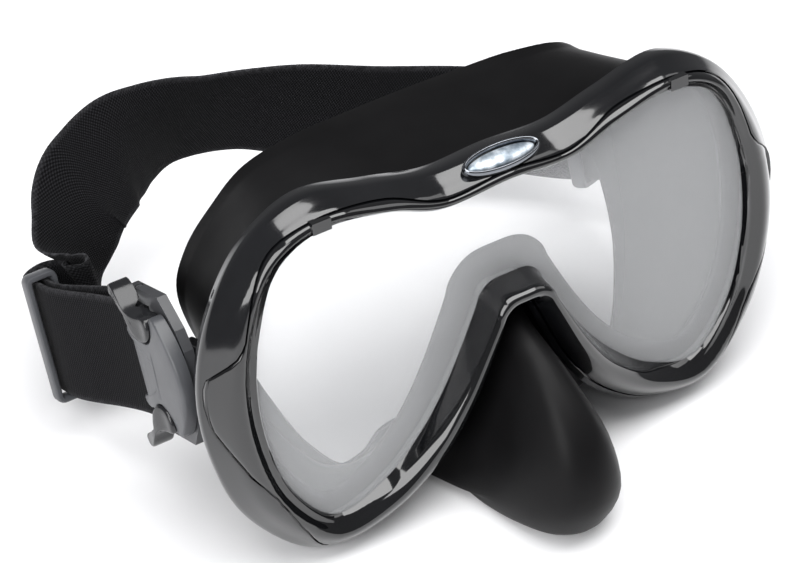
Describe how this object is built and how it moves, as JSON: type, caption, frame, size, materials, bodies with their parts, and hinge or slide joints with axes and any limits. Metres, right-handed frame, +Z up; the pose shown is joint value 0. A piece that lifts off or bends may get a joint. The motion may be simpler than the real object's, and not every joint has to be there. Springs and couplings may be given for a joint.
{
  "type": "diving mask",
  "caption": "Single-lens diving mask with a glossy rim, soft skirt and nose pocket, and a woven strap folded back through swivel buckles.",
  "frame": {"origin": "middle of the footprint of the whole mask as it stands on a table: bounding-box centre in X and Y, lowest point in Z", "axes": "+Z up, the wearer looks along -Y, +X is the wearer's left; the glass leans back 8.5 degrees"},
  "size_m": [0.1752, 0.1616, 0.0981],
  "materials": {
    "glass": "clear tempered",
    "bezel": "high gloss",
    "frame": "high gloss",
    "silicone": "satin",
    "webbing": "woven",
    "hardware": "satin",
    "tab": "semi-gloss",
    "steel": "satin",
    "badge_rim": "polished",
    "badge_face": "clear-coated"
  },
  "bodies": {
    "mask_body": {"main_frame": "frame", "front_bezel": "bezel", "lens": "glass", "skirt_brow": "silicone", "left_nose_pocket": "silicone", "right_nose_pocket": "silicone", "left_skirt_side": "silicone", "right_skirt_side": "silicone", "left_skirt_cheek": "silicone", "right_skirt_cheek": "silicone", "badge_ring": "badge_rim", "badge_insert": "badge_face", "left_lock_tab": "bezel", "right_lock_tab": "bezel", "left_swivel_clip": "steel", "right_swivel_clip": "steel"},
    "right_buckle": {"right_swivel_yoke": "hardware", "right_buckle_cover": "hardware", "right_roller_pin": "steel", "strap": "webbing"},
    "right_upper_release": {"right_upper_horn": "tab"},
    "right_lower_release": {"right_lower_horn": "tab"},
    "right_roller": {"right_strap_roller": "hardware"},
    "right_keeper": {"right_strap_slider": "hardware"},
    "left_buckle": {"left_swivel_yoke": "hardware", "left_buckle_cover": "hardware", "left_roller_pin": "steel"},
    "left_upper_release": {"left_upper_horn": "tab"},
    "left_lower_release": {"left_lower_horn": "tab"},
    "left_roller": {"left_strap_roller": "hardware"},
    "left_keeper": {"left_strap_slider": "hardware"}
  },
  "joints": [
    {"name": "right_buckle_swivel", "type": "hinge", "parent": "mask_body", "child": "right_buckle", "pos_m": [-0.07337, -0.01886, 0.04984], "axis": [1, 0, 0], "range_deg": [-12, 45]},
    {"name": "right_upper_release_press", "type": "hinge", "parent": "right_buckle", "child": "right_upper_release", "pos_m": [-0.07647, -0.00975, 0.05951], "axis": [1, 0, 0], "range_deg": [-4, 0], "stiffness_Nm_per_rad": 0.04},
    {"name": "right_lower_release_press", "type": "hinge", "parent": "right_buckle", "child": "right_lower_release", "pos_m": [-0.07647, -0.01972, 0.03658], "axis": [1, 0, 0], "range_deg": [0, 4], "stiffness_Nm_per_rad": 0.04},
    {"name": "right_roller_spin", "type": "hinge", "parent": "right_buckle", "child": "right_roller", "pos_m": [-0.07337, -0.0074, 0.04486], "axis": [0, 0.3987, 0.9171], "continuous": true},
    {"name": "right_keeper_slide", "type": "slide", "parent": "right_buckle", "child": "right_keeper", "axis": [0, 0.9171, -0.3987], "range_m": [-0.002, 0.0015]},
    {"name": "left_buckle_swivel", "type": "hinge", "parent": "mask_body", "child": "left_buckle", "pos_m": [0.08283, -0.01886, 0.04984], "axis": [1, 0, 0], "range_deg": [-12, 45]},
    {"name": "left_upper_release_press", "type": "hinge", "parent": "left_buckle", "child": "left_upper_release", "pos_m": [0.08593, -0.00975, 0.05951], "axis": [1, 0, 0], "range_deg": [-4, 0], "stiffness_Nm_per_rad": 0.04},
    {"name": "left_lower_release_press", "type": "hinge", "parent": "left_buckle", "child": "left_lower_release", "pos_m": [0.08593, -0.01972, 0.03658], "axis": [1, 0, 0], "range_deg": [0, 4], "stiffness_Nm_per_rad": 0.04},
    {"name": "left_roller_spin", "type": "hinge", "parent": "left_buckle", "child": "left_roller", "pos_m": [0.08283, -0.0074, 0.04486], "axis": [0, 0.3987, 0.9171], "continuous": true},
    {"name": "left_keeper_slide", "type": "slide", "parent": "left_buckle", "child": "left_keeper", "axis": [-0.4067, 0.8378, -0.3643], "range_m": [-0.002, 0.0015]}
  ],
  "couplings": [
    {"joint": "left_buckle_swivel", "follows": "right_buckle_swivel", "ratio": 1}
  ]
}
